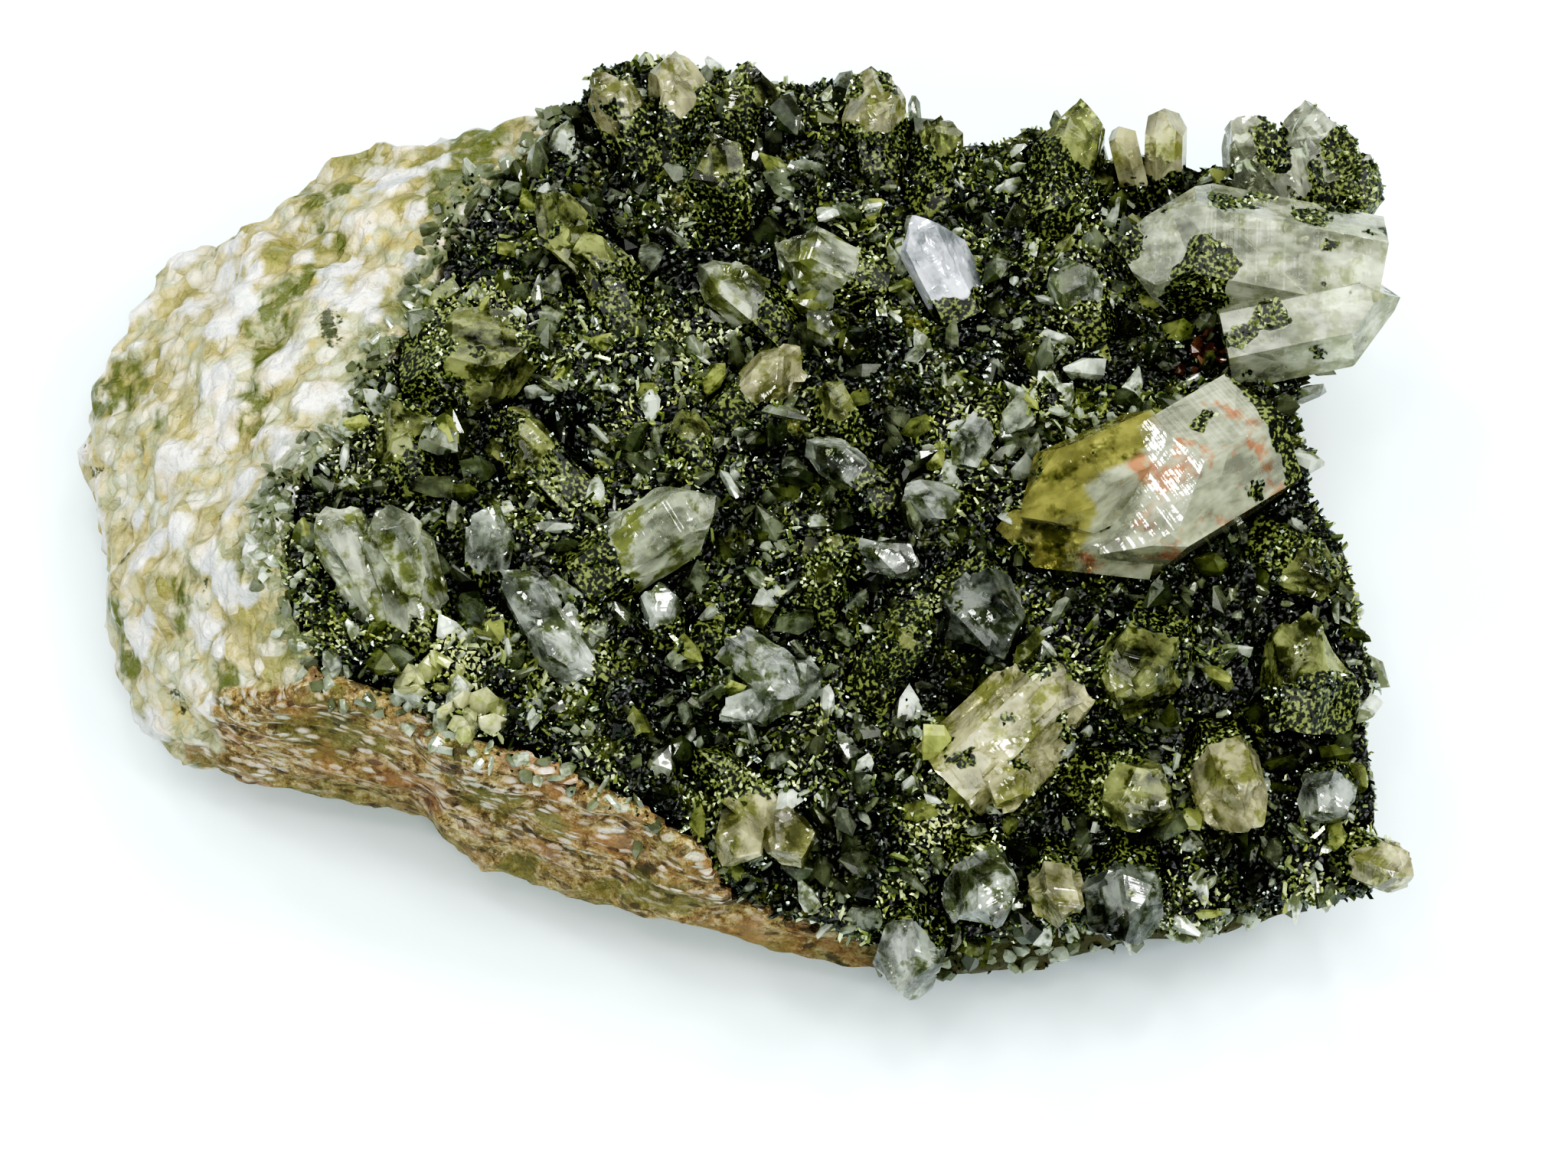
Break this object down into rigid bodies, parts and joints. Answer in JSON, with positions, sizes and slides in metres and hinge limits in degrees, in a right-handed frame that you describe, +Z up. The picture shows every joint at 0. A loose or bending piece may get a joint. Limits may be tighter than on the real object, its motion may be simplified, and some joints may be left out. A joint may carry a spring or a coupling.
{
  "type": "epidote and quartz crystal cluster",
  "caption": "Hand specimen of dark green epidote crust with clear, milky and olive quartz crystals on a slab of quartz and schist, lying on its flat underside.",
  "frame": {"origin": "middle of the specimen's reach, on the surface that its flat underside rests on", "axes": "+X along the specimen's length towards the end with the biggest crystals, +Y away from the layered front wall, +Z up, out of the crystal face"},
  "size_m": [0.0966, 0.0709, 0.027],
  "materials": {
    "host_rock": "rough granular quartz rind with moss green stain, brown layered schist on the front wall",
    "epidote": "glassy black green prisms with olive and pistachio tufts",
    "milky_quartz": "glassy, milky inside",
    "clear_quartz": "glassy and clear",
    "smoky_quartz": "glassy, dark grey green",
    "olive_quartz": "glassy, stained olive to yellow",
    "cream_quartz": "glassy to waxy, cream",
    "peach_quartz": "glassy with rust stained veils"
  },
  "bodies": {
    "root": {"host_rock": "host_rock", "epidote_crust": "epidote", "quartz_giant": "milky_quartz", "quartz_peach": "peach_quartz", "quartz_smoky": "smoky_quartz", "quartz_bead_upper": "clear_quartz", "quartz_bead_lower": "clear_quartz", "quartz_olive_block": "olive_quartz", "quartz_amber_edge": "olive_quartz", "quartz_grey_corner": "milky_quartz", "quartz_twin_points": "clear_quartz", "quartz_crown": "olive_quartz", "quartz_silver_face": "milky_quartz", "quartz_clear_north": "clear_quartz", "quartz_grey_left": "smoky_quartz", "quartz_grey_right": "smoky_quartz", "quartz_grey_low": "smoky_quartz", "quartz_pillar": "olive_quartz", "quartz_top_cream": "cream_quartz", "quartz_top_olive": "olive_quartz", "quartz_top_pale": "cream_quartz", "quartz_top_yellow": "olive_quartz", "quartz_arch": "olive_quartz", "quartz_olive_west": "olive_quartz", "quartz_brown_west": "olive_quartz", "quartz_wavy_west": "olive_quartz", "quartz_frost": "milky_quartz", "quartz_small_west": "clear_quartz", "quartz_blades": "clear_quartz", "quartz_long_milky": "milky_quartz", "quartz_nub": "clear_quartz", "quartz_cream_middle": "cream_quartz", "quartz_green_small": "olive_quartz", "quartz_yellow_middle": "olive_quartz", "quartz_grey_middle": "clear_quartz", "quartz_obelisk": "olive_quartz", "quartz_arrow": "clear_quartz", "quartz_coated_point": "olive_quartz", "quartz_crossed_pair": "clear_quartz", "quartz_front_group": "cream_quartz", "quartz_long_cream": "cream_quartz", "quartz_grey_green": "olive_quartz", "quartz_amber_tooth": "cream_quartz", "quartz_olive_clear": "olive_quartz", "quartz_grey_fang": "smoky_quartz", "quartz_clear_shield": "clear_quartz", "quartz_brown_shard": "peach_quartz", "quartz_south_block": "clear_quartz", "quartz_east_grey": "clear_quartz", "quartz_corner": "cream_quartz"}
  },
  "joints": []
}
